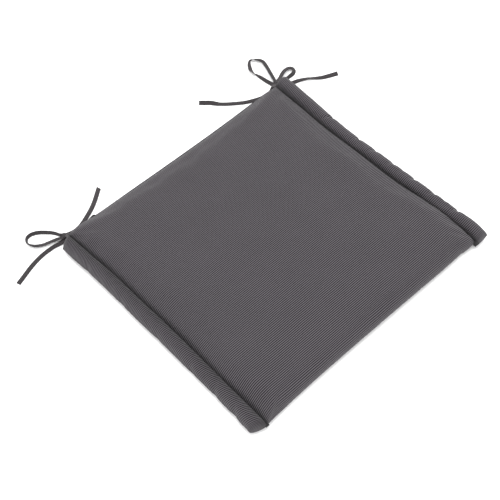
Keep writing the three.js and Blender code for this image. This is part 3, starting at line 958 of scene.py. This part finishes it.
def weave_tape(name, tie):
    """A flat ribbon of ten-sided rings along its route, thinner between the cross ribs."""
    route = [*tie["root"], *tie["loop"], *tie["knot"], *tie["tail"]]
    curve = spline([tuple(MM * v for v in p[:3]) for p in route])
    line, across, length = even(curve, tape_widths(route, len(tie["root"])))
    tangent = unit(np.gradient(line, axis=0))
    across = unit(across - tangent * (across * tangent).sum(1, keepdims=True))
    line[:, 2] = np.maximum(line[:, 2], np.abs(across[:, 2]) * TAPE_WIDTH / 2 + TAPE_GAP)
    face = np.cross(tangent, across)
    section = np.array([
        (-0.5, 0.0), (-0.46, 0.42), (-0.16, 0.5), (0.16, 0.5), (0.46, 0.42),
        (0.5, 0.0), (0.46, -0.42), (0.16, -0.5), (-0.16, -0.5), (-0.46, -0.42),
    ])
    rings = []
    for number, (centre, side, normal) in enumerate(zip(line, across, face)):
        width_share, thickness_share = (1.0, 1.0) if number % 2 else FURROW
        wide, thick = TAPE_WIDTH * width_share, TAPE_THICKNESS * thickness_share
        if number == len(line) - 1:
            centre = centre + tangent[-1] * tie.get("cut", 0) * (section[:, :1] + 0.5)
        rings.append(centre + section[:, :1] * wide * side + section[:, 1:] * thick * normal)
    points = np.vstack(rings)
    count, sides = len(rings), len(section)
    faces = [
        (i * sides + k, i * sides + (k + 1) % sides, (i + 1) * sides + (k + 1) % sides, (i + 1) * sides + k)
        for i in range(count - 1) for k in range(sides)
    ]
    faces += [tuple(range(sides))[::-1], tuple((count - 1) * sides + k for k in range(sides))]
    mesh = bpy.data.meshes.new(name)
    mesh.from_pydata(points.tolist(), [], faces)
    mesh.update()
    tape = bpy.data.objects.new(name, mesh)
    bpy.context.collection.objects.link(tape)
    uv = mesh.uv_layers.new(name="UVMap")
    for polygon in mesh.polygons:
        for loop in polygon.loop_indices:
            ring, k = divmod(mesh.loops[loop].vertex_index, sides)
            uv.data[loop].uv = (section[k, 0] * TAPE_WIDTH, ring * TAPE_STEP)
    bpy.ops.object.select_all(action="DESELECT")
    tape.select_set(True)
    bpy.context.view_layer.objects.active = tape
    bpy.ops.object.mode_set(mode="EDIT")
    bpy.ops.mesh.select_all(action="SELECT")
    bpy.ops.mesh.normals_make_consistent(inside=False)
    bpy.ops.object.mode_set(mode="OBJECT")
    bpy.ops.object.shade_smooth_by_angle(angle=math.radians(50))
    return tape, line, length


def tape_material(name, light):
    tape = Nodes(name)
    place = tape.add("UVMap")
    split = tape.add("SeparateXYZ")
    tape.link(place.outputs["UV"], split.inputs[0])
    rib = tape.math("SINE", tape.math("MULTIPLY", split.outputs["Y"], 2 * math.pi / TAPE_RIB))
    rib = tape.math("MULTIPLY", tape.math("ADD", rib, 1.0), 0.5)
    fibre = tape.noise(place.outputs["UV"], 1500.0, 3.0, 0.7)
    shade = tape.math("ADD", tape.math("MULTIPLY", rib, 0.55), tape.math("MULTIPLY", fibre, 0.5))
    colour = tape.ramp(shade, [
        (0.15, (0.010 * light, 0.0085 * light, 0.0093 * light)),
        (0.55, (0.033 * light, 0.0285 * light, 0.031 * light)),
        (0.95, (0.090 * light, 0.078 * light, 0.083 * light)),
    ])
    tape.link(colour, tape.shader.inputs["Base Color"])
    tape.set(Roughness=0.8, Specular_IOR_Level=0.25, Sheen_Weight=0.1)
    tape.bump(rib, 0.00025)
    return tape.material


KNOTS = {"left": (-0.2250, 0.2292, 0.0049), "right": (0.2290, 0.2292, 0.0049)}
BAND_HALVES = (0.0026, 0.0030, 0.0029)
BAND_TURN = (0.25, math.radians(68), 0.35)
BUNDLE_HALVES = (0.0046, 0.0026, 0.0031)
TACK_FROM, TACK_TO = 0.2060, 0.2140
TACK_PITCH = 0.00062
TACK_PROUD = 0.0006  # how high the bars lie on the pinched cloth
TACK_HALVES = (0.00030, 0.0011, 0.00035)


def add_knot(place):
    """A band of the tape, drawn tight and creased round the strands that cross inside it."""
    bpy.ops.object.select_all(action="DESELECT")
    bpy.ops.mesh.primitive_torus_add(major_segments=40, minor_segments=14, major_radius=1, minor_radius=0.36)
    band = bpy.context.object
    points = points_of(band)
    turn = np.arctan2(points[:, 1], points[:, 0])
    points[:, 2] *= 1.9 + 0.35 * np.sin(turn * 2 + 0.8)
    points[:, :2] *= (1 + 0.06 * np.sin(turn * 5 + 9 * points[:, 2]))[:, None]
    points *= BAND_HALVES
    set_points(band, points)
    band.rotation_euler = BAND_TURN
    bpy.ops.mesh.primitive_uv_sphere_add(segments=24, ring_count=16, radius=1)
    bundle = bpy.context.object
    points = points_of(bundle)
    turn = np.arctan2(points[:, 2], points[:, 1])
    points[:, 1:] *= (1 + 0.13 * np.sin(turn * 3 + 2.2 * points[:, 0]))[:, None]
    points *= BUNDLE_HALVES
    set_points(bundle, points)
    band.select_set(True)
    bpy.context.view_layer.objects.active = band
    bpy.ops.object.join()
    band.location = place
    return band


def add_tack(side):
    """A bar tack: a dozen close stitches across the groove, which hold the end of the tape down."""
    bpy.ops.object.select_all(action="DESELECT")
    bpy.ops.mesh.primitive_uv_sphere_add(segments=8, ring_count=6, radius=1)
    bar = bpy.context.object
    bar.scale = TACK_HALVES
    bpy.ops.object.transform_apply(location=True, rotation=True, scale=True)
    y = np.linspace(TACK_FROM, TACK_TO, 9)
    x = bowed(side * (STITCH_X + groove_shift(side, y)), y)
    repeat_along(bar, TACK_PITCH, [(a, b, SEAM_HEIGHT + PINCH + TACK_PROUD) for a, b in zip(x, y)])
    return bar


tape_cloth = tape_material("near-black woven tape", 0.86)
binding = tape_material("black binding", 0.26)
for side_name, side in SIDES.items():
    finish_piece(add_tab(side), f"{side_name}_bound_tab", binding, f"{side_name}_front_tab")
    finish_piece(add_tack(side), f"{side_name}_bar_tack", thread_dark, f"{side_name}_tie_tack")
    knot = finish_piece(add_knot(KNOTS[side_name]), f"{side_name}_bow_knot", tape_cloth,
                        f"{side_name}_tie_knot")
    for part in ("outer", "inner"):
        tape_name = f"{side_name}_{part}_tape"
        tape, line, length = weave_tape(tape_name, TIES[tape_name])
        tape.data.materials.append(tape_cloth)
        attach(tape, "root")
        strands = f"{side_name}_tie_{part}"
        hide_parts(f"{strands}_loop", f"{strands}_tail", f"{side_name}_tie_root")
